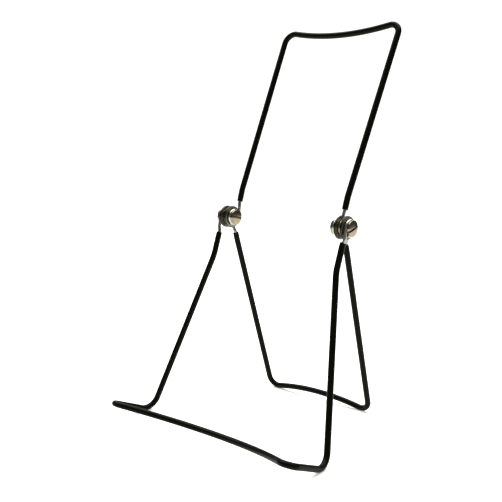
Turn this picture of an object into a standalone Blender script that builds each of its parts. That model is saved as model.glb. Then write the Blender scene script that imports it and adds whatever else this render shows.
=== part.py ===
"""Folding wire display stand: three vinyl-coated wire frames turning on two slotted bolts.

The front frame carries the ledge, the top frame is the back rest and the rear leg is the prop.
All sizes are in metres. X is the pivots' axis, +Y points to the back and +Z up. The origin is
on the table, under the middle of the stand's box.
"""

import math

import bmesh
import bpy
from mathutils import Matrix, Vector

MM = 0.001

# Wire and its vinyl sleeve
WIRE_RADIUS = 1.25 * MM
SLEEVE_RADIUS = 2.25 * MM
SLEEVE_WALL = 0.6 * MM
WIRE_ROUNDNESS = 2
SLEEVE_ROUNDNESS = 3
BARE_END = 13.5 * MM  # the sleeve stops this far from the pivots' axis
FIT_GAP = 0.3 * MM  # left between neighbours that touch

# The pivots' axis, and the eye that each wire end is bent into around its bolt
PIVOT_Y = 14.22 * MM
PIVOT_Z = 147.9 * MM
EYE_RADIUS = 5.15 * MM  # to the middle of the wire
EYE_TURN = math.radians(292)
EYE_STEPS = 16
NECK_STEPS = 4
FRONT_RIGHT_COVERED = 2  # steps of the right front neck that its sleeve reaches over
SIDESTEP_SHARE = 0.38  # of the bare neck: the wire steps sideways into its layer of the stack

# Top frame: a flat U, its bar bowed towards the pivots
TOP_LEAN = math.radians(25.5)
TOP_LENGTH = 158.8 * MM
TOP_HALF_WIDTH = 51.9 * MM
TOP_BOW = 6.7 * MM
TOP_TOE_IN_AT = 22.7 * MM
TOP_TOE_IN_HALF_WIDTH = 49.0 * MM
TOP_EYE_X = 48.4 * MM
TOP_NECK_X = 48.8 * MM
TOP_NECK_OFFSET = 1.2 * MM  # the bare ends start this far behind the frame's plane

# Rear leg: a flat U, its foot bar bowed towards the pivots
REAR_LEAN = math.radians(17.8)
REAR_LENGTH = 155.4 * MM
REAR_HALF_WIDTH = 48.5 * MM
REAR_BOW = 6.5 * MM
REAR_STRAIGHT_TO = 20.4 * MM
REAR_NECK_X = 51.5 * MM
REAR_OFFSET = 0.9 * MM  # behind the pivots' axis

# Front frame: risers that splay, then bend forward into the ledge and its bowed bar
FRONT_LEAN = math.radians(19.8)
FRONT_LENGTH = 159.7 * MM
FRONT_HALF_WIDTH = 83.1 * MM
FRONT_SPLAY_AT = 31.8 * MM
FRONT_SPLAY_X = 57.0 * MM
FRONT_NECK_X = 57.1 * MM
FRONT_OFFSET = 3.2 * MM  # in front of the pivots' axis
LEDGE_TILT = math.radians(22.5)
LEDGE_DEPTH = 48.4 * MM
LEDGE_HALF_WIDTH = 84.9 * MM
LEDGE_BOW = 30.3 * MM

# Bend radii, to the middle of the wire
TOE_IN_BEND = 25.0 * MM
SPLAY_BEND = 30.0 * MM
FRAME_CORNER = 7.6 * MM
LEDGE_BEND = 10.9 * MM
LEDGE_CORNER = 6.1 * MM

# Bolt, thin hexagon nut and washers of one pivot. Both bolts have their head at the +X end.
BOLT_RADIUS = 2.95 * MM
BOLT_CHAMFER = 0.6 * MM
BOLT_PAST_NUT = 1.0 * MM
HEAD_RADIUS = 5.9 * MM
HEAD_RIM = 0.8 * MM
HEAD_HEIGHT = 2.1 * MM
DOME_STEPS = 6
SLOT_WIDTH = 1.5 * MM
SLOT_DEPTH = 1.2 * MM
SLOT_ANGLES = {"right": math.radians(20), "left": math.radians(-13)}
NUT_FLATS = 9.5 * MM
NUT_HEIGHT = 2.2 * MM
NUT_CHAMFER = 0.5 * MM
NUT_ANGLES = {"right": math.radians(0), "left": math.radians(11)}
WASHER_RADIUS = 8.35 * MM
WASHER_THICKNESS = 1.8 * MM
WASHER_EDGE = 0.25 * MM
TURNED_STEPS = 24

# Where each layer of the stack lies along the pivots' axis, from the inside out
LAYER = WIRE_RADIUS * 2 + FIT_GAP * 2 + WASHER_THICKNESS
REAR_EYE_X = TOP_EYE_X + LAYER
FRONT_EYE_X = REAR_EYE_X + LAYER
OUTER_END = FRONT_EYE_X + WIRE_RADIUS + FIT_GAP
INNER_END = TOP_EYE_X - WIRE_RADIUS - FIT_GAP
STACK_ENDS = {"right": (INNER_END, OUTER_END), "left": (-OUTER_END, -INNER_END)}

BAR_STEPS = 6
CORNER_STEPS = 6


def clear_scene():
    for item in list(bpy.data.objects):
        bpy.data.objects.remove(item, do_unlink=True)


def collection(name):
    made = bpy.data.collections.new(name)
    bpy.context.scene.collection.children.link(made)
    return made


def material(name, colour, roughness, metallic):
    made = bpy.data.materials.new(name)
    made.use_nodes = True
    shader = made.node_tree.nodes["Principled BSDF"]
    shader.inputs["Base Color"].default_value = (*colour, 1.0)
    shader.inputs["Roughness"].default_value = roughness
    shader.inputs["Metallic"].default_value = metallic
    return made


# ---------------------------------------------------------------- wire routes


def arc(centre, start, end, steps):
    """Points of the arc about centre from start to end, both of them included."""
    first = start - centre
    last = end - centre
    turn = first.angle(last)
    side = (last - first * (last.dot(first) / first.dot(first))).normalized() * first.length
    angles = [turn * step / steps for step in range(steps + 1)]
    return [centre + first * math.cos(a) + side * math.sin(a) for a in angles]


def bend(before, corner, after, radius, steps):
    """Points of an arc that rounds a corner, tangent to both of its sides."""
    to_before = (before - corner).normalized()
    to_after = (after - corner).normalized()
    half_angle = to_before.angle(to_after) / 2
    middle = (to_before + to_after).normalized()
    centre = corner + middle * (radius / math.sin(half_angle))
    reach = radius / math.tan(half_angle)
    return arc(centre, corner + to_before * reach, corner + to_after * reach, steps)


def half_bar_and_corner(base, along, reach, half_width, bow, towards, corner_radius):
    """From the middle of a bowed bar round its corner, to where the straight side begins.

    The bar is an arc in the plane of X and along, its corner stands at reach and half_width,
    and towards is a point further down the side.
    """
    across = Vector((1, 0, 0))
    bar_radius = (half_width**2 + bow**2) / (2 * bow)
    bar_centre = base + along * (reach - bow + bar_radius)
    corner = base + along * reach + across * half_width
    side = (towards - corner).normalized()
    inwards = (-across - side * side.dot(-across)).normalized()
    start = corner + inwards * corner_radius - bar_centre
    wanted = bar_radius + corner_radius
    half_b = start.dot(side)
    root = math.sqrt(half_b**2 - start.dot(start) + wanted**2)
    slide = root - half_b if start.length < wanted else -root - half_b
    corner_centre = bar_centre + start + side * slide
    on_bar = bar_centre + (corner_centre - bar_centre) * (bar_radius / wanted)
    on_side = corner + side * slide
    bar = arc(bar_centre, base + along * (reach - bow), on_bar, BAR_STEPS)
    return bar[:-1] + arc(corner_centre, on_bar, on_side, CORNER_STEPS)


def flat_half(along, base, neck, straight_to, straight_x, length, half_width, bow):
    """Half of a flat U frame, from the middle of its bar to neck, the end of its sleeve."""
    corner = base + along * length + Vector((half_width, 0, 0))
    waist = base + along * straight_to + Vector((straight_x, 0, 0))
    route = half_bar_and_corner(base, along, length, half_width, bow, waist, FRAME_CORNER)
    return route + bend(corner, waist, neck, TOE_IN_BEND, 2) + [neck]


def top_half():
    along = Vector((0, math.sin(TOP_LEAN), math.cos(TOP_LEAN)))
    normal = Vector((0, math.cos(TOP_LEAN), -math.sin(TOP_LEAN)))
    neck = along * BARE_END + normal * TOP_NECK_OFFSET + Vector((TOP_NECK_X, 0, 0))
    return flat_half(
        along, Vector(), neck, TOP_TOE_IN_AT, TOP_TOE_IN_HALF_WIDTH,
        TOP_LENGTH, TOP_HALF_WIDTH, TOP_BOW,
    )


def rear_half():
    along = Vector((0, math.sin(REAR_LEAN), -math.cos(REAR_LEAN)))
    normal = Vector((0, math.cos(REAR_LEAN), math.sin(REAR_LEAN)))
    base = normal * REAR_OFFSET
    neck = base + along * BARE_END + Vector((REAR_NECK_X, 0, 0))
    return flat_half(
        along, base, neck, REAR_STRAIGHT_TO, REAR_NECK_X,
        REAR_LENGTH, REAR_HALF_WIDTH, REAR_BOW,
    )


def front_half():
    """Half of the front frame, from the middle of the ledge's bar to the end of its sleeve."""
    along = Vector((0, -math.sin(FRONT_LEAN), -math.cos(FRONT_LEAN)))
    normal = Vector((0, -math.cos(FRONT_LEAN), math.sin(FRONT_LEAN)))
    forward = Vector((0, -math.cos(LEDGE_TILT), math.sin(LEDGE_TILT)))
    base = normal * FRONT_OFFSET
    end = base + along * BARE_END + Vector((FRONT_NECK_X, 0, 0))
    splay = base + along * FRONT_SPLAY_AT + Vector((FRONT_SPLAY_X, 0, 0))
    foot_line = base + along * FRONT_LENGTH
    foot = foot_line + Vector((FRONT_HALF_WIDTH, 0, 0))
    corner = foot_line + forward * LEDGE_DEPTH + Vector((LEDGE_HALF_WIDTH, 0, 0))
    route = half_bar_and_corner(
        foot_line, forward, LEDGE_DEPTH, LEDGE_HALF_WIDTH, LEDGE_BOW, foot, LEDGE_CORNER
    )
    route += bend(corner, foot, splay, LEDGE_BEND, 7)
    return route + bend(foot, splay, end, SPLAY_BEND, 2) + [end]


def neck_and_eye(end, eye_x, turning):
    """The bare end of a wire: from its sleeve to the bolt and round it, in the plane x = eye_x.

    turning is 1 when the eye turns from +Y towards +Z, and -1 the other way.
    """
    distance = math.hypot(end.y, end.z)
    tangent = math.atan2(end.z, end.y) + turning * math.acos(EYE_RADIUS / distance)
    touch = Vector((eye_x, EYE_RADIUS * math.cos(tangent), EYE_RADIUS * math.sin(tangent)))
    route = []
    for step in range(1, NECK_STEPS + 1):
        share = step / NECK_STEPS
        point = end.lerp(touch, share * SIDESTEP_SHARE)
        point.x = end.x + (eye_x - end.x) * share * share * (3 - 2 * share)
        route.append(point)
    for step in range(EYE_STEPS + 1):
        angle = tangent + turning * EYE_TURN * step / EYE_STEPS
        route.append(Vector((eye_x, EYE_RADIUS * math.cos(angle), EYE_RADIUS * math.sin(angle))))
    return route


def both_sides(half):
    """A route from the left end to the right end, mirrored from one that starts at x = 0."""
    mirrored = [Vector((-point.x, point.y, point.z)) for point in reversed(half[1:])]
    return mirrored + half


# ---------------------------------------------------------------- solids


def place(item, group, finish, parent):
    """Puts an object in its group, gives it its material and hangs it on its pivot."""
    group.objects.link(item)
    item.data.materials.append(finish)
    item.parent = parent
    return item


def wire_curve(name, route, radius, roundness, caps):
    curve = bpy.data.curves.new(name, "CURVE")
    curve.dimensions = "3D"
    curve.bevel_depth = radius
    curve.bevel_resolution = roundness
    curve.use_fill_caps = caps
    spline = curve.splines.new("POLY")
    spline.points.add(len(route) - 1)
    for target, point in zip(spline.points, route):
        target.co = (*point, 1.0)
    return bpy.data.objects.new(name, curve)


def wire(name, route, group, finish, parent):
    """A bent wire, round, with closed ends."""
    return place(wire_curve(name, route, WIRE_RADIUS, WIRE_ROUNDNESS, True), group, finish, parent)


def sleeve(name, route, group, finish, parent):
    """The vinyl tube on a wire: its outer skin, thickened inwards."""
    guide = wire_curve(name + "_guide", route, SLEEVE_RADIUS, SLEEVE_ROUNDNESS, False)
    group.objects.link(guide)
    seen = guide.evaluated_get(bpy.context.evaluated_depsgraph_get())
    mesh = bpy.data.meshes.new_from_object(seen)
    bpy.data.objects.remove(guide, do_unlink=True)
    mesh.name = name
    mesh.shade_smooth()
    tube = place(bpy.data.objects.new(name, mesh), group, finish, parent)
    wall = tube.modifiers.new("wall", "SOLIDIFY")
    wall.thickness = SLEEVE_WALL
    wall.offset = -1.0
    return tube


def turned(name, profile, closed, location):
    """A shape turned about the pivots' axis.

    The profile's points are (radius, height), with height measured towards +X from location.
    It runs from the +X end to the other one on the shape's outside.
    """
    mesh = bpy.data.meshes.new(name)
    rows = [(radius, 0.0, height) for radius, height in profile]
    edges = [(i, i + 1) for i in range(len(rows) - 1)]
    if closed:
        edges.append((len(rows) - 1, 0))
    mesh.from_pydata(rows, edges, [])
    item = bpy.data.objects.new(name, mesh)
    item.location = location
    item.rotation_euler = (0, math.pi / 2, 0)
    spin = item.modifiers.new("turn", "SCREW")
    spin.axis = "Z"
    spin.steps = TURNED_STEPS
    spin.render_steps = TURNED_STEPS
    spin.use_merge_vertices = True
    spin.merge_threshold = 0.00001
    spin.use_smooth_shade = True
    return item


def cut(item, cutter, group, how="DIFFERENCE"):
    """Cuts an object with another, which stays hidden."""
    if cutter.name not in group.objects:
        group.objects.link(cutter)
    cutter.hide_render = True
    cutter.display_type = "WIRE"
    boolean = item.modifiers.new(how.lower(), "BOOLEAN")
    boolean.operation = how
    boolean.object = cutter
    boolean.solver = "EXACT"


def block(name, size, location, rotation):
    """A box with its scale already in its mesh."""
    mesh = bpy.data.meshes.new(name)
    form = bmesh.new()
    bmesh.ops.create_cube(form, size=1.0)
    bmesh.ops.scale(form, vec=size, verts=form.verts)
    form.to_mesh(mesh)
    form.free()
    item = bpy.data.objects.new(name, mesh)
    item.location = location
    item.rotation_euler = rotation
    return item


def prism(name, sides, radius, height, location, angle):
    """A regular prism that stands on location, runs towards +X and is turned by angle."""
    mesh = bpy.data.meshes.new(name)
    form = bmesh.new()
    bmesh.ops.create_cone(
        form, cap_ends=True, segments=sides, radius1=radius, radius2=radius, depth=height,
        matrix=Matrix.Rotation(angle, 4, "Z"),
    )
    bmesh.ops.translate(form, vec=(0, 0, height / 2), verts=form.verts)
    form.to_mesh(mesh)
    form.free()
    item = bpy.data.objects.new(name, mesh)
    item.location = location
    item.rotation_euler = (0, math.pi / 2, 0)
    return item


def washer(name, middle_x):
    """A thick washer with its edges taken off."""
    bore = BOLT_RADIUS + FIT_GAP
    half = WASHER_THICKNESS / 2
    profile = [
        (bore, half),
        (WASHER_RADIUS - WASHER_EDGE, half),
        (WASHER_RADIUS, half - WASHER_EDGE),
        (WASHER_RADIUS, WASHER_EDGE - half),
        (WASHER_RADIUS - WASHER_EDGE, -half),
        (bore, -half),
    ]
    return turned(name, profile, True, (middle_x, 0, 0))


def bolt(name, stack, slot_angle, cutters):
    """A slotted round-headed bolt through a stack, its end standing out past the nut."""
    low, high = stack
    end = low - NUT_HEIGHT - BOLT_PAST_NUT - high
    profile = [(0.0, HEAD_HEIGHT)]
    for step in range(1, DOME_STEPS):
        angle = math.pi / 2 * (1 - step / DOME_STEPS)
        height = HEAD_RIM + (HEAD_HEIGHT - HEAD_RIM) * math.sin(angle)
        profile.append((HEAD_RADIUS * math.cos(angle), height))
    profile += [
        (HEAD_RADIUS, HEAD_RIM),
        (HEAD_RADIUS - WASHER_EDGE, 0.0),
        (BOLT_RADIUS, 0.0),
        (BOLT_RADIUS, end + BOLT_CHAMFER),
        (BOLT_RADIUS - BOLT_CHAMFER, end),
        (0.0, end),
    ]
    item = turned(name, profile, False, (high, 0, 0))
    slot = block(
        name + "_slot",
        (SLOT_DEPTH * 2, HEAD_RADIUS * 3, SLOT_WIDTH),
        (high + HEAD_HEIGHT, PIVOT_Y, PIVOT_Z),
        (slot_angle, 0, 0),
    )
    cut(item, slot, cutters)
    return item


def nut(name, stack, angle, cutters):
    """A thin hexagon nut at a stack's -X end, with its corners turned off on both faces."""
    base = stack[0] - NUT_HEIGHT
    corner = NUT_FLATS / math.sqrt(3)
    item = prism(name, 6, corner, NUT_HEIGHT, (base, 0, 0), angle)
    flat = NUT_FLATS / 2
    wide = corner + NUT_CHAMFER
    drop = NUT_CHAMFER * 1.4
    rounding = [
        (0.0, NUT_HEIGHT), (flat, NUT_HEIGHT), (wide, NUT_HEIGHT - drop),
        (wide, drop), (flat, 0.0), (0.0, 0.0),
    ]
    chamfer = turned(name + "_chamfer", rounding, False, (base, PIVOT_Y, PIVOT_Z))
    cut(item, chamfer, cutters, "INTERSECT")
    bore_at = (base - NUT_HEIGHT, PIVOT_Y, PIVOT_Z)
    bore = prism(name + "_bore", TURNED_STEPS, BOLT_RADIUS + FIT_GAP, NUT_HEIGHT * 3, bore_at, 0.0)
    cut(item, bore, cutters)
    return item


def pivot(name, group):
    """An empty on the pivots' axis, which one frame hangs on."""
    empty = bpy.data.objects.new(name, None)
    empty.location = (0, PIVOT_Y, PIVOT_Z)
    group.objects.link(empty)
    return empty


def coated_frame(name, half, eye_x, turning, group, steel, vinyl, covered=0):
    """A frame: one bent wire from eye to eye, and the sleeve on it.

    The sleeve's right end reaches over the first covered steps of the neck.
    """
    parent = pivot(name + "_pivot", group)
    bare = neck_and_eye(half[-1], eye_x, turning)
    wire(name + "_wire", both_sides(half + bare), group, steel, parent)
    sleeve(name + "_sleeve", both_sides(half) + bare[:covered], group, vinyl, parent)
    return parent


def build():
    clear_scene()
    parts = collection("wire_display_stand")
    cutters = collection("cutters")
    vinyl = material("black_vinyl", (0.012, 0.012, 0.011), 0.35, 0.0)
    steel = material("bright_wire", (0.62, 0.61, 0.58), 0.28, 1.0)
    plated = material("plated_steel", (0.66, 0.62, 0.54), 0.22, 1.0)
    dark = material("dark_washer", (0.06, 0.06, 0.045), 0.38, 0.85)

    front = coated_frame(
        "front_frame", front_half(), FRONT_EYE_X, -1, parts, steel, vinyl, FRONT_RIGHT_COVERED
    )
    coated_frame("top_frame", top_half(), TOP_EYE_X, -1, parts, steel, vinyl)
    coated_frame("rear_leg", rear_half(), REAR_EYE_X, 1, parts, steel, vinyl)

    inner_x = (TOP_EYE_X + REAR_EYE_X) / 2
    outer_x = (REAR_EYE_X + FRONT_EYE_X) / 2
    for label, side in (("left", -1), ("right", 1)):
        stack = STACK_ENDS[label]
        place(washer("inner_washer_" + label, side * inner_x), parts, dark, front)
        place(washer("outer_washer_" + label, side * outer_x), parts, dark, front)
        place(bolt("bolt_" + label, stack, SLOT_ANGLES[label], cutters), parts, plated, front)
        place(nut("nut_" + label, stack, NUT_ANGLES[label], cutters), parts, plated, front)


build()
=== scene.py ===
"""Looks of a folding wire display stand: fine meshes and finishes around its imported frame.

Three vinyl-coated wire frames turn on two slotted bolts. All sizes are in metres. X is the
pivots' axis, +Y points to the back and +Z up, as in the frame.
"""

import math

import bmesh
import bpy
import numpy as np
from mathutils import Matrix, Vector


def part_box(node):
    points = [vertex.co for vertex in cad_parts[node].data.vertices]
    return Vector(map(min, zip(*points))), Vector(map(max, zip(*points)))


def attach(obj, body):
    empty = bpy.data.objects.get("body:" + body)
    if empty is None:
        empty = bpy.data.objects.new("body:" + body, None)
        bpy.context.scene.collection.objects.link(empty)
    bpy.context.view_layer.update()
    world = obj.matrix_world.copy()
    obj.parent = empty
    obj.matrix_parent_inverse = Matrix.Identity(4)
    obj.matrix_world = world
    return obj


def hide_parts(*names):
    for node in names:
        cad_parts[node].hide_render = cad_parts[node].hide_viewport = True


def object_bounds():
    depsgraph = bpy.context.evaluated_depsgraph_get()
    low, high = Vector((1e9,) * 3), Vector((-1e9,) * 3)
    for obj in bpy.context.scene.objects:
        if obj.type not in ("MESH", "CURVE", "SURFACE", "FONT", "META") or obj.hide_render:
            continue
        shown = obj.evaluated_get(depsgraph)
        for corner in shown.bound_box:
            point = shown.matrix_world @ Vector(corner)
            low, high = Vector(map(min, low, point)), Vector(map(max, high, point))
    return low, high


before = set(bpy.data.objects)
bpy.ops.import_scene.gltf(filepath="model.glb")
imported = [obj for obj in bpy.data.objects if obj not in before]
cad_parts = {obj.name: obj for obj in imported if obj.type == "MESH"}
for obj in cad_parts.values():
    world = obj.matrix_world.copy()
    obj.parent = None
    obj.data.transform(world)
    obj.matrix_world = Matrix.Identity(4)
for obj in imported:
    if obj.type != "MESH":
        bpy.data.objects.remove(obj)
cad_low, cad_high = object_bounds()

MM = 0.001

# ---------------------------------------------------------------- places read from the frame

NUT_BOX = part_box("nut_right")
BOLT_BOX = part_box("bolt_right")
INNER_WASHER_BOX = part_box("inner_washer_right")
OUTER_WASHER_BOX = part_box("outer_washer_right")
PIVOT = (OUTER_WASHER_BOX[0] + OUTER_WASHER_BOX[1]) / 2
PIVOT.x = 0.0  # the pivots' axis where it crosses the stand's middle plane
WASHER_RADIUS = (OUTER_WASHER_BOX[1].z - OUTER_WASHER_BOX[0].z) / 2
WASHER_THICKNESS = OUTER_WASHER_BOX[1].x - OUTER_WASHER_BOX[0].x
TOP_EYE_X = (NUT_BOX[1].x + INNER_WASHER_BOX[0].x) / 2
REAR_EYE_X = (INNER_WASHER_BOX[1].x + OUTER_WASHER_BOX[0].x) / 2
FRONT_EYE_X = OUTER_WASHER_BOX[1].x + REAR_EYE_X - INNER_WASHER_BOX[1].x
INNER_END = NUT_BOX[1].x
OUTER_END = FRONT_EYE_X * 2 - OUTER_WASHER_BOX[1].x
STACK_ENDS = {"right": (INNER_END, OUTER_END), "left": (-OUTER_END, -INNER_END)}
HEAD_HEIGHT = BOLT_BOX[1].x - OUTER_END
BOLT_LENGTH = OUTER_END - BOLT_BOX[0].x
NUT_HEIGHT = NUT_BOX[1].x - NUT_BOX[0].x
HEAD_RADIUS = (BOLT_BOX[1].z - BOLT_BOX[0].z) / 2

# ---------------------------------------------------------------- driving dimensions
#
# They are those of the CAD, except where a note says so.

WIRE_RADIUS = 1.25 * MM
SLEEVE_RADIUS = 2.25 * MM
SLEEVE_BORE = 1.28 * MM  # its radius, tight on the wire; the CAD's tube keeps a clearance
BARE_END = 13.5 * MM  # the sleeve stops this far from the pivots' axis
EYE_RADIUS = 5.15 * MM  # to the middle of the wire
EYE_TURN = math.radians(292)
SIDESTEP_SHARE = 0.4  # of the bare neck, over which the wire steps sideways; 0.38 in the CAD
FRONT_RIGHT_COVERED = 2.4 * MM  # of the right front neck, which its sleeve reaches over

TOP_LEAN = math.radians(25.5)
TOP_LENGTH = 158.8 * MM
TOP_HALF_WIDTH = 51.9 * MM
TOP_BOW = 6.7 * MM
TOP_TOE_IN_AT = 22.7 * MM
TOP_TOE_IN_HALF_WIDTH = 49.0 * MM
TOP_NECK_X = 48.8 * MM
TOP_NECK_OFFSET = 1.2 * MM  # the bare ends start this far behind the frame's plane

REAR_LEAN = math.radians(17.8)
REAR_LENGTH = 155.4 * MM
REAR_HALF_WIDTH = 48.5 * MM
REAR_BOW = 6.5 * MM
REAR_STRAIGHT_TO = 20.4 * MM
REAR_NECK_X = 51.5 * MM
REAR_OFFSET = 0.9 * MM  # behind the pivots' axis

FRONT_LEAN = math.radians(19.8)
FRONT_LENGTH = 159.7 * MM
FRONT_HALF_WIDTH = 83.1 * MM
FRONT_SPLAY_AT = 31.8 * MM
FRONT_SPLAY_X = 57.0 * MM
FRONT_NECK_X = 57.1 * MM
FRONT_OFFSET = 3.2 * MM  # in front of the pivots' axis
LEDGE_TILT = math.radians(22.5)
LEDGE_DEPTH = 48.4 * MM
LEDGE_HALF_WIDTH = 84.9 * MM
LEDGE_BOW = 30.3 * MM

TOE_IN_BEND = 25.0 * MM
SPLAY_BEND = 30.0 * MM
FRAME_CORNER = 7.6 * MM
LEDGE_BEND = 10.9 * MM
LEDGE_CORNER = 6.1 * MM

SLOT_WIDTH = 1.5 * MM
SLOT_DEPTH = 1.2 * MM
SLOT_ANGLES = {"right": math.radians(20), "left": math.radians(-13)}
NUT_FLATS = 9.5 * MM
NUT_CHAMFER = 0.55 * MM  # 0.5 mm in the CAD
NUT_ANGLES = {"right": math.radians(0), "left": math.radians(11)}
BOLT_RADIUS = 2.95 * MM
HEAD_RIM = 0.8 * MM  # the straight band below the head's dome
THREAD_PITCH = 1.0 * MM
THREAD_DEPTH = 0.42 * MM

# How finely things are meshed
BEND_SPACING = 0.7 * MM
NECK_SPACING = BEND_SPACING / 1.5
BAR_SPACING = 1.6 * MM
STRAIGHT_SPACING = 4.0 * MM
SAME_PLACE = 0.01 * MM  # points closer than this are one
SLEEVE_SIDES = 40
WIRE_SIDES = 32
TURNED_SIDES = 96
DOME_STEPS = 26
EDGE_STEPS = 5

# Edges at which faces meet more steeply than this are shaded sharp
WIRE_SHARP = math.radians(40)
BOLT_SHARP = math.radians(38)
NUT_SHARP = math.radians(24)

UP = Vector((0, 0, 1))
ACROSS = Vector((1, 0, 0))


# ---------------------------------------------------------------- wire routes about the pivots' axis


def arc(centre, start, end, spacing):
    """Points of the arc about centre from start to end, both of them included."""
    first = start - centre
    last = end - centre
    radius = first.length
    turn = first.angle(last)
    side = (last - first * (last.dot(first) / first.dot(first))).normalized() * radius
    steps = max(2, math.ceil(radius * turn / spacing))
    angles = [turn * step / steps for step in range(steps + 1)]
    return [centre + first * math.cos(a) + side * math.sin(a) for a in angles]


def bend(before, corner, after, radius):
    """Points of an arc that rounds a corner, tangent to both of its sides."""
    to_before = (before - corner).normalized()
    to_after = (after - corner).normalized()
    half_angle = to_before.angle(to_after) / 2
    middle = (to_before + to_after).normalized()
    centre = corner + middle * (radius / math.sin(half_angle))
    reach = radius / math.tan(half_angle)
    return arc(centre, corner + to_before * reach, corner + to_after * reach, BEND_SPACING)


def half_bar_and_corner(base, along, reach, half_width, bow, towards, corner_radius):
    """From the middle of a bowed bar round its corner, to where the straight side begins.

    The bar is an arc in the plane of X and along, its corner stands at reach and half_width,
    and towards is a point further down the side.
    """
    bar_radius = (half_width**2 + bow**2) / (2 * bow)
    bar_centre = base + along * (reach - bow + bar_radius)
    corner = base + along * reach + ACROSS * half_width
    side = (towards - corner).normalized()
    inwards = (-ACROSS - side * side.dot(-ACROSS)).normalized()
    start = corner + inwards * corner_radius - bar_centre
    wanted = bar_radius + corner_radius
    half_b = start.dot(side)
    root = math.sqrt(half_b**2 - start.dot(start) + wanted**2)
    slide = root - half_b if start.length < wanted else -root - half_b
    corner_centre = bar_centre + start + side * slide
    on_bar = bar_centre + (corner_centre - bar_centre) * (bar_radius / wanted)
    on_side = corner + side * slide
    middle = base + along * (reach - bow)
    bar = arc(bar_centre, middle, on_bar, BAR_SPACING)
    return bar + arc(corner_centre, on_bar, on_side, BEND_SPACING)


def flat_half(along, base, neck, straight_to, straight_x, length, half_width, bow):
    """Half of a flat U frame, from the middle of its bar to neck, the end of its sleeve."""
    corner = base + along * length + Vector((half_width, 0, 0))
    waist = base + along * straight_to + Vector((straight_x, 0, 0))
    route = half_bar_and_corner(base, along, length, half_width, bow, waist, FRAME_CORNER)
    return route + bend(corner, waist, neck, TOE_IN_BEND) + [neck]


def top_half():
    """Half of the top frame, which is the back rest."""
    along = Vector((0, math.sin(TOP_LEAN), math.cos(TOP_LEAN)))
    normal = Vector((0, math.cos(TOP_LEAN), -math.sin(TOP_LEAN)))
    neck = along * BARE_END + normal * TOP_NECK_OFFSET + Vector((TOP_NECK_X, 0, 0))
    return flat_half(
        along, Vector(), neck, TOP_TOE_IN_AT, TOP_TOE_IN_HALF_WIDTH,
        TOP_LENGTH, TOP_HALF_WIDTH, TOP_BOW,
    )


def rear_half():
    """Half of the rear leg, which is the prop."""
    along = Vector((0, math.sin(REAR_LEAN), -math.cos(REAR_LEAN)))
    normal = Vector((0, math.cos(REAR_LEAN), math.sin(REAR_LEAN)))
    base = normal * REAR_OFFSET
    neck = base + along * BARE_END + Vector((REAR_NECK_X, 0, 0))
    return flat_half(
        along, base, neck, REAR_STRAIGHT_TO, REAR_NECK_X,
        REAR_LENGTH, REAR_HALF_WIDTH, REAR_BOW,
    )


def front_half():
    """Half of the front frame, from the middle of the ledge's bar to the end of its sleeve."""
    along = Vector((0, -math.sin(FRONT_LEAN), -math.cos(FRONT_LEAN)))
    normal = Vector((0, -math.cos(FRONT_LEAN), math.sin(FRONT_LEAN)))
    forward = Vector((0, -math.cos(LEDGE_TILT), math.sin(LEDGE_TILT)))
    base = normal * FRONT_OFFSET
    end = base + along * BARE_END + Vector((FRONT_NECK_X, 0, 0))
    splay = base + along * FRONT_SPLAY_AT + Vector((FRONT_SPLAY_X, 0, 0))
    foot_line = base + along * FRONT_LENGTH
    foot = foot_line + Vector((FRONT_HALF_WIDTH, 0, 0))
    corner = foot_line + forward * LEDGE_DEPTH + Vector((LEDGE_HALF_WIDTH, 0, 0))
    route = half_bar_and_corner(
        foot_line, forward, LEDGE_DEPTH, LEDGE_HALF_WIDTH, LEDGE_BOW, foot, LEDGE_CORNER
    )
    route += bend(corner, foot, splay, LEDGE_BEND)
    return route + bend(foot, splay, end, SPLAY_BEND) + [end]


def neck_and_eye(half, eye_x, turning):
    """The bare end of a wire: from its sleeve to the bolt and round it, in the plane x = eye_x.

    turning is 1 when the eye turns from +Y towards +Z, and -1 the other way.
    """
    end = half[-1]
    heading = (half[-1] - half[-2]).normalized()
    distance = math.hypot(end.y, end.z)
    tangent = math.atan2(end.z, end.y) + turning * math.acos(EYE_RADIUS / distance)
    touch = Vector((eye_x, EYE_RADIUS * math.cos(tangent), EYE_RADIUS * math.sin(tangent)))
    arriving = Vector((0, -math.sin(tangent), math.cos(tangent))) * turning
    span = (touch - end).length
    steps = math.ceil(span / NECK_SPACING)
    route = []
    for step in range(1, steps):
        t = step / steps
        place_on = end * (2 * t**3 - 3 * t**2 + 1) + touch * (3 * t**2 - 2 * t**3)
        pull = heading * (t**3 - 2 * t**2 + t) + arriving * (t**3 - t**2)
        point = place_on + pull * span
        share = min(1.0, t / SIDESTEP_SHARE)
        point.x = end.x + (eye_x - end.x) * share * share * (3 - 2 * share)
        route.append(point)
    eye_steps = math.ceil(EYE_RADIUS * EYE_TURN / NECK_SPACING)
    for step in range(eye_steps + 1):
        angle = tangent + turning * EYE_TURN * step / eye_steps
        route.append(Vector((eye_x, EYE_RADIUS * math.cos(angle), EYE_RADIUS * math.sin(angle))))
    return route


def both_sides(half):
    """A route from the left end to the right end, mirrored from one that starts at x = 0."""
    mirrored = [Vector((-point.x, point.y, point.z)) for point in reversed(half[1:])]
    return mirrored + half


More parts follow.
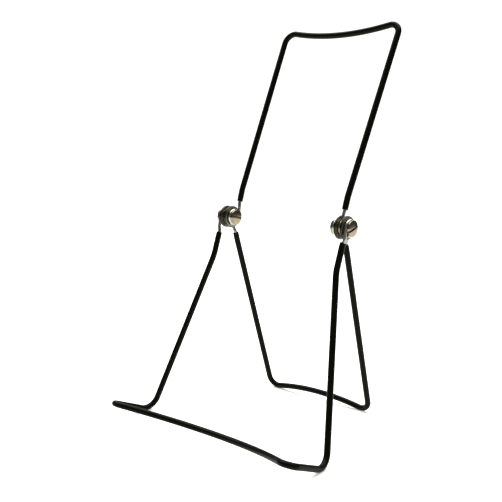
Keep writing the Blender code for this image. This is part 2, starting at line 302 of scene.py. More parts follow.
class Route:
    """A centre line with an upright frame carried along it without twist."""

    def __init__(self, points):
        spots = [points[0]]
        for point in points[1:]:
            gap = (point - spots[-1]).length
            pieces = max(1, round(gap / STRAIGHT_SPACING))
            start = spots[-1]
            if gap > SAME_PLACE:
                spots += [start.lerp(point, (i + 1) / pieces) for i in range(pieces)]
        tangents = []
        for i in range(len(spots)):
            before = spots[max(i - 1, 0)]
            after = spots[min(i + 1, len(spots) - 1)]
            tangents.append((after - before).normalized())
        normal = UP.cross(tangents[0]).normalized()
        normals = [normal]
        for before, after in zip(tangents, tangents[1:]):
            normal = before.rotation_difference(after) @ normal
            normal = (normal - after * normal.dot(after)).normalized()
            normals.append(normal)
        self.centres = np.array(spots)
        self.normals = np.array(normals)
        self.sides = np.cross(np.array(tangents), self.normals)
        steps = np.linalg.norm(np.diff(self.centres, axis=0), axis=1)
        self.stations = np.concatenate([[0.0], np.cumsum(steps)])
        self.length = self.stations[-1]

    def at(self, where, values):
        """One of the route's arrays, read between its stations."""
        return np.stack([np.interp(where, self.stations, values[:, k]) for k in range(3)], 1)


# ---------------------------------------------------------------- meshes


def smooth_noise(where, seed):
    """A slow, repeatable wobble between -1 and 1 along a length."""
    waves = ((46.0, 1.7), (114.0, 0.4), (262.0, 2.9))  # radians per metre, and phase
    total = sum(np.sin(where * rate + phase * seed) for rate, phase in waves)
    return total / len(waves)


def add_values(mesh, name, values):
    """A number on each vertex, for the finish to read."""
    made = mesh.attributes.new(name, "FLOAT", "POINT")
    made.data.foreach_set("value", np.asarray(values, np.float32).ravel())


def add_strand(mesh, vectors):
    """Each vertex's place on the wire as if it were straight, for marks that follow the wire."""
    made = mesh.attributes.new("strand", "FLOAT_VECTOR", "POINT")
    made.data.foreach_set("vector", np.asarray(vectors, np.float32).ravel())


def sweep(name, route, rings, sides, closed):
    """A tube through rings, each a (place along the route, radius).

    It is closed in a loop through its last ring and its first, or capped at both ends.
    """
    where = np.array([ring[0] for ring in rings])
    radii = np.array([ring[1] for ring in rings])
    centres = route.at(where, route.centres)
    normals = route.at(where, route.normals)
    binormals = route.at(where, route.sides)
    angles = np.arange(sides) * 2 * math.pi / sides
    across = normals[:, None, :] * np.cos(angles)[None, :, None]
    across = across + binormals[:, None, :] * np.sin(angles)[None, :, None]
    across = across / np.linalg.norm(across, axis=2, keepdims=True)
    spots = centres[:, None, :] + across * radii[:, None, None]
    count = len(rings)
    faces = []
    for i in range(count if closed else count - 1):
        low = i * sides
        high = (i + 1) % count * sides
        for j in range(sides):
            k = (j + 1) % sides
            faces.append((low + j, low + k, high + k, high + j))
    if not closed:
        faces.append(tuple(reversed(range(sides))))
        faces.append(tuple(range((count - 1) * sides, count * sides)))
    mesh = bpy.data.meshes.new(name)
    mesh.from_pydata(spots.reshape(-1, 3).tolist(), [], faces)
    straight = np.zeros((count, sides, 3))
    straight[:, :, 0] = radii[:, None] * np.cos(angles)[None, :]
    straight[:, :, 1] = radii[:, None] * np.sin(angles)[None, :]
    straight[:, :, 2] = where[:, None]
    add_strand(mesh, straight.reshape(-1, 3))
    return mesh, np.repeat(where, sides)


def face_out(mesh):
    """Turns every face of a closed mesh outwards."""
    form = bmesh.new()
    form.from_mesh(mesh)
    bmesh.ops.recalc_face_normals(form, faces=form.faces)
    form.to_mesh(mesh)
    form.free()


def quarter(centre_along, centre_radius, along, out, size, start, steps=EDGE_STEPS):
    """Rings of a rounded edge, from one axis of its quarter circle to the other.

    along and out are the signs of the two directions in which it bulges, and start says in
    which of them it begins, "along" or "out".
    """
    rings = []
    for step in range(steps + 1):
        angle = math.radians(90) * step / steps
        run = math.cos(angle) if start == "along" else math.sin(angle)
        rise = math.sin(angle) if start == "along" else math.cos(angle)
        rings.append((centre_along + along * run * size, centre_radius + out * rise * size))
    return rings


def link(item):
    """Puts an object in the scene."""
    bpy.context.scene.collection.objects.link(item)


def finish_piece(item, finish, body, node):
    """Shows a piece in place of its CAD node, with its finish, on its body."""
    link(item)
    item.data.materials.append(finish)
    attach(item, body)
    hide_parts(node)


def sleeve(name, route, neck, seed, covered):
    """The vinyl tube: its skin, square-cut lips with softened edges, and its bore.

    covered is the length of the right neck that it reaches over.
    """
    outer_round = 0.28 * MM
    bore_round = 0.12 * MM
    lip_space = 0.6 * MM  # the skin's rings stay this far from the cut ends
    necking = 0.1 * MM  # how much the cut ends draw in
    necking_length = 1.2 * MM
    unevenness = 0.018 * MM
    first = neck
    last = route.length - neck + covered
    stations = route.stations
    inside = stations[(stations > first + lip_space) & (stations < last - lip_space)]
    rings = []
    for where in inside:
        to_end = min(where - first, last - where)
        drawn = necking * math.exp(-to_end / necking_length)
        wobble = unevenness * smooth_noise(where, seed)
        rings.append((where, SLEEVE_RADIUS - drawn + wobble))
    lip = SLEEVE_RADIUS - necking
    rings += quarter(last - outer_round, lip - outer_round, 1, 1, outer_round, "out")
    rings += quarter(last - bore_round, SLEEVE_BORE + bore_round, 1, -1, bore_round, "along")
    rings += [(where, SLEEVE_BORE) for where in inside[::-1]]
    rings += quarter(first + bore_round, SLEEVE_BORE + bore_round, -1, -1, bore_round, "out")
    rings += quarter(first + outer_round, lip - outer_round, -1, 1, outer_round, "along")
    mesh, _ = sweep(name, route, rings, SLEEVE_SIDES, True)
    face_out(mesh)
    mesh.shade_smooth()
    return bpy.data.objects.new(name, mesh)


def wire(name, route, neck):
    """The whole wire with its two cut ends, whose edges are slightly rolled over."""
    edge = 0.22 * MM
    edge_space = edge * 1.3  # the other rings stay this far from the cut ends
    edge_steps = 4
    stations = route.stations
    inside = stations[(stations > edge_space) & (stations < route.length - edge_space)]
    rings = quarter(edge, WIRE_RADIUS - edge, -1, 1, edge, "along", edge_steps)
    rings += [(where, WIRE_RADIUS) for where in inside]
    rings += quarter(route.length - edge, WIRE_RADIUS - edge, 1, 1, edge, "out", edge_steps)
    mesh, where = sweep(name, route, rings, WIRE_SIDES, False)
    face_out(mesh)
    from_sleeve = np.maximum(neck - where, where - (route.length - neck))
    add_values(mesh, "bare", from_sleeve / neck)
    add_values(mesh, "cut_end", (np.minimum(where, route.length - where) < edge).astype(float))
    mesh.shade_smooth()
    mesh.set_sharp_from_angle(angle=WIRE_SHARP)
    return bpy.data.objects.new(name, mesh)


def turned(name, rings, closed=False):
    """A shape turned about Z from (radius, height) rings; a radius may be a function of angle.

    A ring of no radius is a single point. closed joins the last ring to the first.
    """
    sides = TURNED_SIDES
    angles = np.arange(sides) * 2 * math.pi / sides
    spots = []
    first_of = []
    for radius, height in rings:
        first_of.append(len(spots))
        around = radius(angles) if callable(radius) else np.full(sides, radius)
        if not np.any(around):
            spots.append((0.0, 0.0, height))
        else:
            spots += [(r * math.cos(a), r * math.sin(a), height) for r, a in zip(around, angles)]
    ends = first_of[1:] + [len(spots)]
    faces = []
    count = len(rings)
    for i in range(count if closed else count - 1):
        k = (i + 1) % count
        low, high = first_of[i], first_of[k]
        low_point, high_point = ends[i] - low == 1, ends[k] - high == 1
        for j in range(sides):
            n = (j + 1) % sides
            if low_point:
                faces.append((low, high + n, high + j))
            elif high_point:
                faces.append((low + j, low + n, high))
            else:
                faces.append((low + j, low + n, high + n, high + j))
    mesh = bpy.data.meshes.new(name)
    mesh.from_pydata(spots, [], faces)
    face_out(mesh)
    return mesh


def on_axis(mesh, x, angle=0.0):
    """Lays a mesh made along Z on the pivots' axis, from x towards +X."""
    turn = Matrix.Rotation(math.pi / 2, 4, "Y") @ Matrix.Rotation(angle, 4, "Z")
    mesh.transform(Matrix.Translation((x, PIVOT.y, PIVOT.z)) @ turn)


def boolean(item, cutter_mesh, how):
    """Applies a Boolean of a mesh on an object that isn't in the scene yet, exactly."""
    link(item)
    cutter = bpy.data.objects.new("cutter", cutter_mesh)
    link(cutter)
    modifier = item.modifiers.new("cut", "BOOLEAN")
    modifier.operation = how
    modifier.object = cutter
    modifier.solver = "EXACT"
    seen = item.evaluated_get(bpy.context.evaluated_depsgraph_get())
    result = bpy.data.meshes.new_from_object(seen)
    item.modifiers.clear()
    bpy.context.scene.collection.objects.unlink(item)
    bpy.data.objects.remove(cutter, do_unlink=True)
    item.data = result


def soften(mesh, offset, segments, wanted):
    """Bevels the sharp edges for which wanted(edge) holds."""
    sharp = math.radians(32)
    merge = 0.002 * MM
    form = bmesh.new()
    form.from_mesh(mesh)
    bmesh.ops.remove_doubles(form, verts=form.verts, dist=merge)
    manifold = [e for e in form.edges if e.is_manifold]
    edges = [e for e in manifold if e.calc_face_angle(0) > sharp and wanted(e)]
    bmesh.ops.bevel(
        form, geom=edges, offset=offset, segments=segments, profile=0.5, affect="EDGES",
        clamp_overlap=True,
    )
    form.to_mesh(mesh)
    form.free()


def rounded(points, radius):
    """A closed outline of (radius, height) points with every corner rounded."""
    spacing = radius / 3
    made = []
    for i, place in enumerate(points):
        corner = Vector((*place, 0))
        before = Vector((*points[i - 1], 0))
        after = Vector((*points[(i + 1) % len(points)], 0))
        to_before = (before - corner).normalized()
        to_after = (after - corner).normalized()
        half_angle = to_before.angle(to_after) / 2
        centre = corner + (to_before + to_after).normalized() * (radius / math.sin(half_angle))
        reach = radius / math.tan(half_angle)
        turn = arc(centre, corner + to_before * reach, corner + to_after * reach, spacing)
        made += [(point.x, point.y) for point in turn]
    return made


def washer(name, low_x):
    """A thick washer with a softly rolled rim and a clean bore."""
    bore = BOLT_RADIUS + 0.2 * MM
    edge_round = 0.32 * MM
    rim_reach = 0.35 * MM  # the rim's finish begins this far inside it
    rim_blend = 0.2 * MM  # and fades in over this
    worn_at = 0.1 * MM  # from either face, the middle of the band that handling brightens
    worn_width = 0.16 * MM
    outline = [
        (bore, WASHER_THICKNESS),
        (WASHER_RADIUS, WASHER_THICKNESS),
        (WASHER_RADIUS, 0.0),
        (bore, 0.0),
    ]
    mesh = turned(name, rounded(outline, edge_round), closed=True)
    radial = np.array([math.hypot(v.co.x, v.co.y) for v in mesh.vertices])
    height = np.array([v.co.z for v in mesh.vertices])
    from_face = np.minimum(height, WASHER_THICKNESS - height)
    add_values(mesh, "rim", np.clip((radial - WASHER_RADIUS + rim_reach) / rim_blend, 0, 1))
    add_values(mesh, "edge", np.exp(-((from_face - worn_at) / worn_width) ** 2))
    add_values(mesh, "radial", radial / WASHER_RADIUS)
    on_axis(mesh, low_x)
    mesh.shade_smooth()
    return bpy.data.objects.new(name, mesh)


def thread(height, threads_from, end):
    """The radius of the bolt's shank at one height, as a function of the angle around it."""
    chamfer = 0.75 * MM  # of the bolt's end, 0.6 mm in the CAD
    run_in_length = 1.0 * MM  # over which the groove reaches its full depth
    groove_reach = 1.35  # these two shape the groove: a flat root, sloped sides and a flat crest
    groove_slope = 3.6
    tip = np.clip((height - end) / chamfer, 0, 1)
    run_in = np.clip((threads_from - height) / run_in_length, 0, 1)
    limit = BOLT_RADIUS - chamfer * (1 - tip)

    def radius(angles):
        phase = (height / THREAD_PITCH + angles / (2 * math.pi)) % 1.0
        groove = np.clip(groove_reach - np.abs(phase - 0.5) * groove_slope, 0, 1)
        groove = groove * groove * (3 - 2 * groove)
        return np.minimum(BOLT_RADIUS - THREAD_DEPTH * groove * run_in, limit)

    return radius


def bolt_rings():
    """A bolt's turned outline, from the top of its head down; the head seats at height 0."""
    under_round = 0.3 * MM  # the rounded lower edge of the head
    fillet = 0.25 * MM  # between head and shank
    threads_from = -0.9 * MM
    rings_per_turn = 12
    end = -BOLT_LENGTH
    rings = [(0.0, HEAD_HEIGHT)]
    for step in range(1, DOME_STEPS + 1):
        angle = math.pi / 2 * (1 - step / DOME_STEPS)
        height = HEAD_RIM + (HEAD_HEIGHT - HEAD_RIM) * math.sin(angle)
        rings.append((HEAD_RADIUS * math.cos(angle), height))
    rings.append((HEAD_RADIUS, under_round))
    for step in range(1, EDGE_STEPS + 1):
        angle = math.pi / 2 * step / EDGE_STEPS
        lowered = under_round * (1 - math.sin(angle))
        rings.append((HEAD_RADIUS - under_round * (1 - math.cos(angle)), lowered))
    rings.append((BOLT_RADIUS + fillet, 0.0))
    rings.append((BOLT_RADIUS, -fillet))
    count = math.ceil((threads_from - end) / THREAD_PITCH * rings_per_turn)
    for step in range(count + 1):
        height = threads_from + (end - threads_from) * step / count
        rings.append((thread(height, threads_from, end), height))
    return rings + [(0.0, end)]


def slot_cutter(name, head_x, slot_angle):
    """A bar that cuts the slot across a bolt's head."""
    mesh = bpy.data.meshes.new(name)
    form = bmesh.new()
    bmesh.ops.create_cube(form, size=1.0)
    bmesh.ops.scale(form, vec=(SLOT_DEPTH * 2, HEAD_RADIUS * 3, SLOT_WIDTH), verts=form.verts)
    form.to_mesh(mesh)
    form.free()
    slot_at = Matrix.Translation((head_x + HEAD_HEIGHT, PIVOT.y, PIVOT.z))
    mesh.transform(slot_at @ Matrix.Rotation(slot_angle, 4, "X"))
    return mesh


def bolt(name, head_x, slot_angle):
    """A slotted round-head bolt: smooth dome, threaded shank, chamfered end."""
    slot_round = 0.13 * MM
    round_segments = 3
    dome_from = head_x + 0.55 * MM
    mesh = turned(name, bolt_rings())
    on_axis(mesh, head_x)
    item = bpy.data.objects.new(name, mesh)
    boolean(item, slot_cutter(name + "_slot", head_x, slot_angle), "DIFFERENCE")

    def on_slot(edge):
        return all(v.co.x > dome_from for v in edge.verts)

    soften(item.data, slot_round, round_segments, on_slot)
    mark_bolt(item.data, head_x, slot_angle)
    item.data.shade_smooth()
    item.data.set_sharp_from_angle(angle=BOLT_SHARP)
    return item


def mark_bolt(mesh, head_x, slot_angle):
    """Says for each vertex of a bolt how deep it lies in the slot or the thread."""
    slot_floor = HEAD_HEIGHT - SLOT_DEPTH + 0.16 * MM  # up to just above its rounded corners
    half_slot = SLOT_WIDTH / 2 + 0.02 * MM
    above_edge = 0.4 * MM  # past the head's rounded lower edge
    deep = []
    for v in mesh.vertices:
        x = v.co.x - head_x
        y = v.co.y - PIVOT.y
        z = v.co.z - PIVOT.z
        across = abs(z * math.cos(slot_angle) - y * math.sin(slot_angle))
        if x > above_edge:
            deep.append(1.0 if across < half_slot and x < slot_floor else 0.0)
        elif x > 0:
            deep.append(0.0)
        else:
            in_thread = (BOLT_RADIUS - math.hypot(y, z)) / THREAD_DEPTH
            deep.append(min(1.0, max(0.0, in_thread)))
    # the plated finish paints shade where this is high
    add_values(mesh, "deep", deep)


def nut(name, low_x, angle):
    """A thin hexagon nut: corners turned off on both faces, edges broken, bore countersunk."""
    height = NUT_HEIGHT
    corner = NUT_FLATS / math.sqrt(3)
    flat = NUT_FLATS / 2 - 0.1 * MM  # the radius of the flat part of its faces
    wide = corner + NUT_CHAMFER
    drop = (wide - flat) * math.tan(math.radians(30))
    bore = BOLT_RADIUS + 0.06 * MM
    sunk = 0.45 * MM  # the countersink's depth and width
    over = 1.0 * MM  # the cutter reaches this far past both faces
    corner_round = 0.22 * MM
    corner_segments = 3
    face_round = 0.06 * MM
    face_segments = 2
    past_countersink = bore + sunk * 0.5
    past_flat = flat * 1.02
    form = bmesh.new()
    bmesh.ops.create_cone(
        form, cap_ends=True, segments=6, radius1=corner, radius2=corner, depth=height
    )
    bmesh.ops.translate(form, vec=(0, 0, height / 2), verts=form.verts)
    upright = [e for e in form.edges if abs(e.verts[0].co.z - e.verts[1].co.z) > height / 2]
    bmesh.ops.bevel(
        form, geom=upright, offset=corner_round, segments=corner_segments, profile=0.5,
        affect="EDGES",
    )
    mesh = bpy.data.meshes.new(name)
    form.to_mesh(mesh)
    form.free()
    item = bpy.data.objects.new(name, mesh)
    rounding = [
        (0.0, height), (flat, height), (wide, height - drop), (wide, drop), (flat, 0.0),
        (0.0, 0.0),
    ]
    boolean(item, turned(name + "_rounding", rounding), "INTERSECT")
    hole = [
        (0.0, height + over), (bore + sunk + over, height + over), (bore, height - sunk),
        (bore, sunk), (bore + sunk + over, -over), (0.0, -over),
    ]
    boolean(item, turned(name + "_bore", hole), "DIFFERENCE")

    def round_the_face(edge):
        radial = [math.hypot(v.co.x, v.co.y) for v in edge.verts]
        return min(radial) > past_countersink and max(radial) < past_flat

    soften(item.data, face_round, face_segments, round_the_face)
    radial = np.array([math.hypot(v.co.x, v.co.y) for v in item.data.vertices])
    # how far into the countersunk bore, where the plated finish paints shade
    add_values(item.data, "deep", np.clip((bore + sunk - radial) / sunk, 0, 1))
    on_axis(item.data, low_x, angle)
    item.data.shade_smooth()
    item.data.set_sharp_from_angle(angle=NUT_SHARP)
    return item


# ---------------------------------------------------------------- finishes

MOST = (0.3, 0.7)  # the span in which most of a noise's values lie
CORE = (0.35, 0.65)  # a narrower span, for more contrast


class Finish:
    """A material whose nodes are made one by one."""

    def __init__(self, name):
        self.material = bpy.data.materials.new(name)
        self.material.use_nodes = True
        self.tree = self.material.node_tree
        self.shader = self.tree.nodes["Principled BSDF"]

    def put(self, target, value):
        """Links a socket to an input, or sets the input's own value."""
        if isinstance(value, bpy.types.NodeSocket):
            self.tree.links.new(value, target)
        else:
            target.default_value = value

    def node(self, kind, inputs=(), **settings):
        """A new node with its inputs and its settings."""
        made = self.tree.nodes.new(kind)
        for key, value in settings.items():
            setattr(made, key, value)
        for key, value in dict(inputs).items():
            self.put(made.inputs[key], value)
        return made

    def attribute(self, name, vector=False):
        """A value that the mesh carries on its vertices."""
        made = self.node("ShaderNodeAttribute", attribute_name=name)
        return made.outputs["Vector" if vector else "Fac"]

    def placed(self):
        """The place on the object, in metres."""
        return self.node("ShaderNodeTexCoord").outputs["Object"]

    def stretched(self, vector, scale):
        """A place scaled differently along each axis, for lines and scratches."""
        made = self.node("ShaderNodeMapping", {"Vector": vector, "Scale": scale})
        return made.outputs["Vector"]

    def noise(self, vector, scale, detail=3.0, roughness=0.55):
        """A noise from 0 to 1 over a place."""
        sockets = {"Vector": vector, "Scale": scale, "Detail": detail, "Roughness": roughness}
        return self.node("ShaderNodeTexNoise", sockets).outputs["Fac"]

    def span(self, value, low, high, to_low=0.0, to_high=1.0):
        """Value brought from low..high to to_low..to_high, held at both ends."""
        sockets = {
            "Value": value, "From Min": low, "From Max": high, "To Min": to_low, "To Max": to_high
        }
        return self.node("ShaderNodeMapRange", sockets).outputs["Result"]

    def math(self, operation, one, other):
        """Two values put together by one operation."""
        made = self.node("ShaderNodeMath", operation=operation)
        self.put(made.inputs[0], one)
        self.put(made.inputs[1], other)
        return made.outputs[0]

    def colours(self, share, one, other):
        """A mix of two colours, each (red, green, blue) or a socket."""
        share_input, first_input, second_input, result = 0, 6, 7, 2  # of the node's colour mode
        made = self.node("ShaderNodeMix", data_type="RGBA")
        self.put(made.inputs[share_input], share)
        for place, colour in ((first_input, one), (second_input, other)):
            self.put(made.inputs[place], (*colour, 1.0) if isinstance(colour, tuple) else colour)
        return made.outputs[result]

    def bump(self, height, distance):
        """Relief of a height from 0 to 1, distance metres deep."""
        made = self.node("ShaderNodeBump", {"Height": height, "Distance": distance})
        self.put(self.shader.inputs["Normal"], made.outputs["Normal"])

    def look(self, **values):
        """Sets the shader's inputs, named with _ for each space."""
        for key, value in values.items():
            self.put(self.shader.inputs[key.replace("_", " ")], value)


def vinyl_finish():
    """Black PVC: semi-gloss, faint orange peel and draw lines, scuffed where it rests."""
    black = (0.0022, 0.0022, 0.0012)
    faded = (0.0038, 0.0037, 0.0021)
    scuffed_grey = (0.02, 0.0195, 0.017)
    warm_sheen = (1.0, 0.97, 0.8, 1.0)
    worn_below = 2.2 * MM  # heights over the table between which the wear from resting grows
    worn_fully = 0.2 * MM
    f = Finish("black_vinyl")
    strand = f.attribute("strand", vector=True)
    broad = f.noise(strand, scale=55.0, detail=2.0)
    peel = f.noise(strand, scale=1500.0, detail=2.0)
    lines = f.noise(f.stretched(strand, (2600.0, 2600.0, 40.0)), scale=1.0, detail=2.0)
    scratched = f.stretched(strand, (900.0, 900.0, 140.0))
    scratches = f.noise(scratched, scale=1.0, detail=4.0, roughness=0.7)
    scuffed = f.span(scratches, 0.64, 0.74)
    height = f.node("ShaderNodeSeparateXYZ", {"Vector": f.placed()}).outputs["Z"]
    low_down = f.span(height, worn_below, worn_fully)
    resting = f.math("MULTIPLY", low_down, f.span(broad, 0.35, 0.6))
    worn = f.math("MAXIMUM", f.math("MULTIPLY", scuffed, 0.35), f.math("MULTIPLY", resting, 0.8))
    colour = f.colours(f.span(broad, *MOST), black, faded)
    colour = f.colours(worn, colour, scuffed_grey)
    dullness = f.span(broad, *MOST, to_low=0.27, to_high=0.36)
    dullness = f.math("ADD", dullness, f.span(peel, *MOST, to_low=-0.02, to_high=0.03))
    dullness = f.math("ADD", dullness, f.math("MULTIPLY", worn, 0.28))
    f.look(Base_Color=colour, Roughness=dullness, IOR=1.13, Specular_Tint=warm_sheen)
    relief = f.math("ADD", f.math("MULTIPLY", peel, 0.7), f.math("MULTIPLY", lines, 0.5))
    relief = f.math("SUBTRACT", relief, f.math("MULTIPLY", worn, 0.3))
    f.bump(relief, 0.022 * MM)
    return f.material


def wire_finish():
    """Bright drawn steel: die lines along it, grey and darker by the sleeve and at the cut."""
    grey = (0.36, 0.35, 0.295)
    bright = (0.50, 0.49, 0.425)
    clouded = (0.27, 0.255, 0.2)
    dirty = (0.15, 0.14, 0.105)
    sleeve_reach = 0.16  # the share of the neck that is dirty beside the sleeve
    f = Finish("bare_wire")
    strand = f.attribute("strand", vector=True)
    drawn = f.stretched(strand, (5200.0, 5200.0, 110.0))
    lines = f.noise(drawn, scale=1.0, detail=3.0, roughness=0.65)
    clouds = f.noise(strand, scale=420.0)
    near_sleeve = f.span(f.attribute("bare"), sleeve_reach, 0.0)
    patches = f.span(clouds, 0.3, 0.6, to_low=0.35, to_high=1.0)
    by_sleeve = f.math("MULTIPLY", near_sleeve, patches)
    dull = f.math("MAXIMUM", by_sleeve, f.math("MULTIPLY", f.attribute("cut_end"), 0.7))
    colour = f.colours(f.span(lines, *CORE), grey, bright)
    colour = f.colours(f.math("MULTIPLY", f.span(clouds, 0.5, 0.75), 0.5), colour, clouded)
    colour = f.colours(dull, colour, dirty)
    along_lines = f.span(lines, *MOST, to_low=0.2, to_high=0.33)
    dullness = f.math("ADD", along_lines, f.math("MULTIPLY", dull, 0.2))
    f.look(Base_Color=colour, Roughness=dullness, Metallic=1.0)
    f.bump(lines, 0.012 * MM)
    return f.material


def plated_finish():
    """Warm nickel plating, hairline scratches, and painted shade in the slot, thread and bore."""
    tarnished = (0.225, 0.186, 0.124)
    clean = (0.30, 0.256, 0.18)
    scratched = (0.44, 0.40, 0.315)
    # the colour of the painted shade laid into the slot, the thread and the nut's bore
    painted_shade_colour = (0.035, 0.025, 0.008)
    f = Finish("plated_steel")
    placed = f.placed()
    clouds = f.noise(placed, scale=380.0)
    upright_hairs = f.stretched(placed, (900.0, 5200.0, 700.0))
    level_hairs = f.stretched(placed, (900.0, 800.0, 6100.0))
    upright = f.noise(upright_hairs, scale=1.0, detail=4.0, roughness=0.7)
    level = f.noise(level_hairs, scale=1.0, detail=4.0, roughness=0.7)
    marks = f.math("MAXIMUM", f.span(upright, 0.6, 0.72), f.span(level, 0.62, 0.74))
    patches = f.span(clouds, 0.25, 0.6, to_low=0.8, to_high=1.0)
    # Painted shade: darkest down in the slot, the thread's grooves and the nut's bore, a little
    # patchy
    painted_shade = f.math("MULTIPLY", f.span(f.attribute("deep"), 0.02, 0.5), patches)
    colour = f.colours(f.span(clouds, *MOST), tarnished, clean)
    colour = f.colours(f.math("MULTIPLY", marks, 0.35), colour, scratched)
    colour = f.colours(painted_shade, colour, painted_shade_colour)
    dullness = f.span(clouds, *MOST, to_low=0.13, to_high=0.24)
    dullness = f.math("ADD", dullness, f.math("MULTIPLY", marks, 0.14))
    dullness = f.math("ADD", dullness, f.math("MULTIPLY", painted_shade, 0.3))
    f.look(Base_Color=colour, Roughness=dullness, Metallic=1.0)
    relief = f.math("SUBTRACT", f.math("MULTIPLY", clouds, 0.5), f.math("MULTIPLY", marks, 0.4))
    f.bump(relief, 0.008 * MM)
    return f.material


def washer_finish():
    """Oiled steel washer: turned grey faces, a nearly black rim, bright on its edges."""
    turned_grey = (0.15, 0.145, 0.105)
    turned_bright = (0.235, 0.228, 0.17)
    oily = (0.085, 0.078, 0.05)
    rim_black = (0.009, 0.009, 0.0045)
    rim_grey = (0.02, 0.0195, 0.010)
    handled = (0.18, 0.17, 0.14)
    rings_across = 60.0
    f = Finish("dark_washer")
    clouds = f.noise(f.placed(), scale=300.0)
    outwards = f.math("MULTIPLY", f.attribute("radial"), rings_across)
    rings_at = f.node("ShaderNodeCombineXYZ", {"X": outwards}).outputs["Vector"]
    rings = f.noise(rings_at, scale=1.0, roughness=0.6)
    face = f.colours(f.span(rings, *CORE), turned_grey, turned_bright)
    face = f.colours(f.math("MULTIPLY", f.span(clouds, 0.45, 0.7), 0.5), face, oily)
    rim = f.colours(f.span(clouds, *MOST), rim_black, rim_grey)
    colour = f.colours(f.attribute("rim"), face, rim)
    rubbed = f.span(clouds, 0.4, 0.65, to_low=0.0, to_high=0.3)
    colour = f.colours(f.math("MULTIPLY", f.attribute("edge"), rubbed), colour, handled)
    dullness = f.span(clouds, *MOST, to_low=0.26, to_high=0.4)
    dullness = f.math("ADD", dullness, f.math("MULTIPLY", rings, 0.06))
    f.look(Base_Color=colour, Roughness=dullness, Metallic=0.9)
    f.bump(f.math("ADD", rings, clouds), 0.01 * MM)
    return f.material


# ---------------------------------------------------------------- the stand


def coated_frame(body, half, eye_x, turning, steel, vinyl, seed, covered=0.0):
    """One bent wire from eye to eye, and the sleeve on it, both named for their body."""
    bare = neck_and_eye(half, eye_x, turning)
    route = Route([point + PIVOT for point in both_sides(half + bare)])
    bare_points = [half[-1]] + bare
    neck = sum((b - a).length for a, b in zip(bare_points, bare_points[1:]))
    finish_piece(wire(body + "_steel", route, neck), steel, body, body + "_wire")
    coat = sleeve(body + "_coat", route, neck, seed, covered)
    finish_piece(coat, vinyl, body, body + "_sleeve")


def build_stand():
    """All fourteen pieces, the bolts' stacks on the body that carries them."""
    vinyl = vinyl_finish()
    steel = wire_finish()
    plated = plated_finish()
    dark = washer_finish()
    coated_frame("front_frame", front_half(), FRONT_EYE_X, -1, steel, vinyl, 1, FRONT_RIGHT_COVERED)
    coated_frame("top_frame", top_half(), TOP_EYE_X, -1, steel, vinyl, 2)
    coated_frame("rear_leg", rear_half(), REAR_EYE_X, 1, steel, vinyl, 3)
    body = "front_frame"
    for label, (low_x, high_x) in STACK_ENDS.items():
        for node in ("inner_washer_" + label, "outer_washer_" + label):
            item = washer("fine_" + node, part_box(node)[0].x)
            finish_piece(item, dark, body, node)
        node = "bolt_" + label
        item = bolt("fine_" + node, high_x, SLOT_ANGLES[label])
        finish_piece(item, plated, body, node)
        node = "nut_" + label
        item = nut("fine_" + node, low_x - NUT_HEIGHT, NUT_ANGLES[label])
        finish_piece(item, plated, body, node)


# ---------------------------------------------------------------- studio

WHITE = (1.0, 1.0, 1.0, 1.0)
TABLE_RADIUS = 1.5
TABLE_SIDES = 128
TABLE_GREY = (0.93, 0.93, 0.925)
TABLE_WHITE = (0.96, 0.96, 0.955)
TABLE_GLOW = 0.4  # a little light of its own keeps the shadows on it faint
ROOM_SEEN = 1.25  # the room's brightness for the camera
ROOM_REFLECTED = 0.12  # and in reflections and as a light
SKY_STRENGTH = 5.4
SKY_SPREAD = math.radians(80)
SKY_FROM = (-0.2, 0.32, 1.0)
LEFT_PANEL_PLACE = (-1.3, -0.2, 1.2)
LEFT_PANEL_SIZE = 0.7
LEFT_PANEL_POWER = 3.0
CAMERA_PLACE = (0.3501, -0.42744, 0.21115)
CAMERA_DOWN = math.radians(10.689)
CAMERA_ROLL = math.radians(-0.241)
CAMERA_TURN = math.radians(41.14)
CAMERA_LENS = 55.37
CAMERA_SENSOR = 36.0
CAMERA_SHIFT = (0.0079, 0.0567)
CAMERA_CLIP = (0.01, 50.0)


def floor():
    """A plain round pale table top."""
    form = bmesh.new()
    bmesh.ops.create_circle(form, cap_ends=True, radius=TABLE_RADIUS, segments=TABLE_SIDES)
    mesh = bpy.data.meshes.new("table_top")
    form.to_mesh(mesh)
    form.free()
    item = bpy.data.objects.new("table_top", mesh)
    item.location.z = cad_low.z
    link(item)
    f = Finish("pale_table")
    grain = f.noise(f.placed(), scale=18.0)
    colour = f.colours(f.span(grain, *MOST), TABLE_GREY, TABLE_WHITE)
    dullness = f.span(grain, *MOST, to_low=0.7, to_high=0.8)
    f.look(
        Base_Color=colour, Roughness=dullness, Emission_Color=WHITE, Emission_Strength=TABLE_GLOW
    )
    mesh.materials.append(f.material)


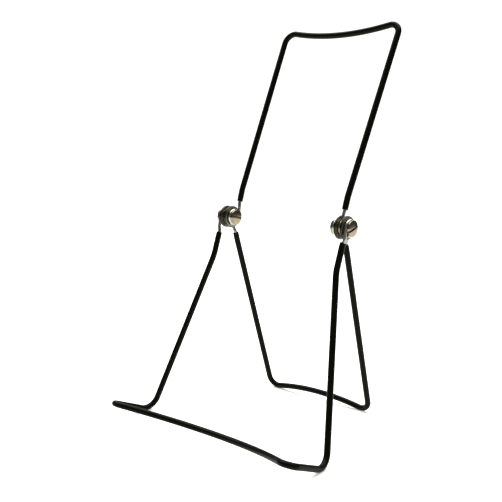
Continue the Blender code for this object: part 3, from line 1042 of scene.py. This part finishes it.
def left_panel(aim):
    """A weak square panel on the left, aimed at a place."""
    light = bpy.data.lights.new("from_left", "AREA")
    light.shape = "RECTANGLE"
    light.size = LEFT_PANEL_SIZE
    light.size_y = LEFT_PANEL_SIZE
    light.energy = LEFT_PANEL_POWER
    item = bpy.data.objects.new("from_left", light)
    item.location = LEFT_PANEL_PLACE
    towards = aim - Vector(LEFT_PANEL_PLACE)
    item.rotation_euler = towards.to_track_quat("-Z", "Y").to_euler()
    link(item)


def sky_panel():
    """A very wide, even light from above, which lights the table the same all over."""
    light = bpy.data.lights.new("sky_panel", "SUN")
    light.energy = SKY_STRENGTH
    light.angle = SKY_SPREAD
    item = bpy.data.objects.new("sky_panel", light)
    item.rotation_euler = Vector(SKY_FROM).to_track_quat("Z", "Y").to_euler()
    link(item)


def studio_light():
    """A white room for the camera, dim in reflections, under a wide soft light."""
    world = bpy.data.worlds.new("studio")
    world.use_nodes = True
    tree = world.node_tree
    background = tree.nodes["Background"]
    path = tree.nodes.new("ShaderNodeLightPath")
    strength = tree.nodes.new("ShaderNodeMapRange")
    strength.inputs["To Min"].default_value = ROOM_REFLECTED
    strength.inputs["To Max"].default_value = ROOM_SEEN
    tree.links.new(path.outputs["Is Camera Ray"], strength.inputs["Value"])
    tree.links.new(strength.outputs["Result"], background.inputs["Strength"])
    background.inputs["Color"].default_value = WHITE
    bpy.context.scene.world = world
    sky_panel()
    left_panel((cad_low + cad_high) / 2)


def camera():
    """The viewpoint: in front, to the right and a little above the pivots."""
    data = bpy.data.cameras.new("camera")
    data.sensor_width = CAMERA_SENSOR
    data.lens = CAMERA_LENS
    data.shift_x, data.shift_y = CAMERA_SHIFT
    data.clip_start, data.clip_end = CAMERA_CLIP
    item = bpy.data.objects.new("camera", data)
    item.location = CAMERA_PLACE
    item.rotation_euler = (math.pi / 2 - CAMERA_DOWN, CAMERA_ROLL, CAMERA_TURN)
    link(item)
    bpy.context.scene.camera = item


build_stand()
floor()
studio_light()
camera()
bpy.context.scene.view_settings.view_transform = "Standard"
